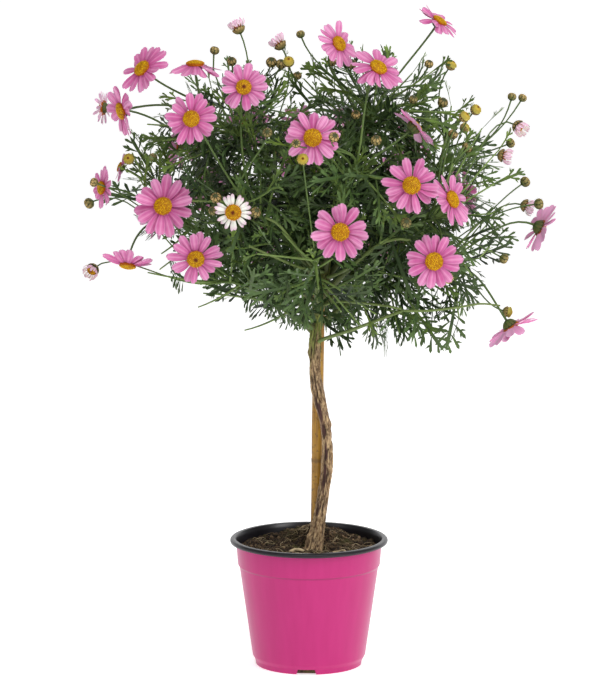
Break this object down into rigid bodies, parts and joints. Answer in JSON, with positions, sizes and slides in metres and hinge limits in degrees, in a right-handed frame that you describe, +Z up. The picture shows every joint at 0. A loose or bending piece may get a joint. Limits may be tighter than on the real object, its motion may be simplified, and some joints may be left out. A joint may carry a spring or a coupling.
{
  "type": "potted standard marguerite daisy",
  "caption": "Standard marguerite daisy in a nursery pot: bare woody stem beside a bamboo cane, round leafy crown of cut leaves, daisies and buds on long stalks.",
  "frame": {"origin": "middle of the pot's underside, on the ground", "axes": "+Z up along the plant, +X to the right and -Y towards the viewer of the picture"},
  "size_m": [0.4438, 0.3757, 0.6293],
  "materials": {
    "pot": "thermoformed polypropylene, glossy pink outside and black inside, with a black rolled rim",
    "potting_mix": "moist dark peat with bark chips and fibres",
    "cane": "dried bamboo, smooth, with joints",
    "bark": "rough grey-brown bark with dark furrows",
    "leaf": "living leaf and green stem, matt with a soft sheen",
    "petal": "pink rays with fine lengthwise veins round a yellow disc of florets"
  },
  "bodies": {
    "root": {"pot": "pot", "potting_mix": "potting_mix", "cane": "cane", "woody_stem": "bark", "leafy_branch_01": "leaf", "leafy_branch_02": "leaf", "leafy_branch_03": "leaf", "leafy_branch_04": "leaf", "leafy_branch_05": "leaf", "leafy_branch_06": "leaf", "leafy_branch_07": "leaf", "leafy_branch_08": "leaf", "leafy_branch_09": "leaf", "leafy_branch_10": "leaf", "leafy_branch_11": "leaf", "leafy_branch_12": "leaf", "leafy_branch_13": "leaf", "leafy_branch_14": "leaf", "leafy_branch_15": "leaf", "leafy_branch_16": "leaf", "bloom_01": "petal", "bloom_02": "petal", "bloom_03": "petal", "bloom_04": "petal", "bloom_05": "petal", "bloom_06": "petal", "bloom_07": "petal", "bloom_08": "petal", "bloom_09": "petal", "bloom_10": "petal", "bloom_11": "petal", "bloom_12": "petal", "bloom_13": "petal", "bloom_14": "petal", "bloom_15": "petal", "bloom_16": "petal", "bloom_17": "petal", "bloom_18": "petal", "bloom_19": "petal", "bloom_20": "petal", "bloom_21": "petal", "bloom_22": "petal", "bloom_23": "petal", "bloom_24": "petal", "bloom_25": "petal", "bloom_26": "petal", "bloom_27": "petal", "bloom_28": "petal", "bloom_29": "petal", "bloom_30": "petal", "bloom_31": "petal", "bloom_32": "petal", "bloom_33": "petal", "bloom_34": "petal", "bloom_35": "petal"}
  },
  "joints": []
}
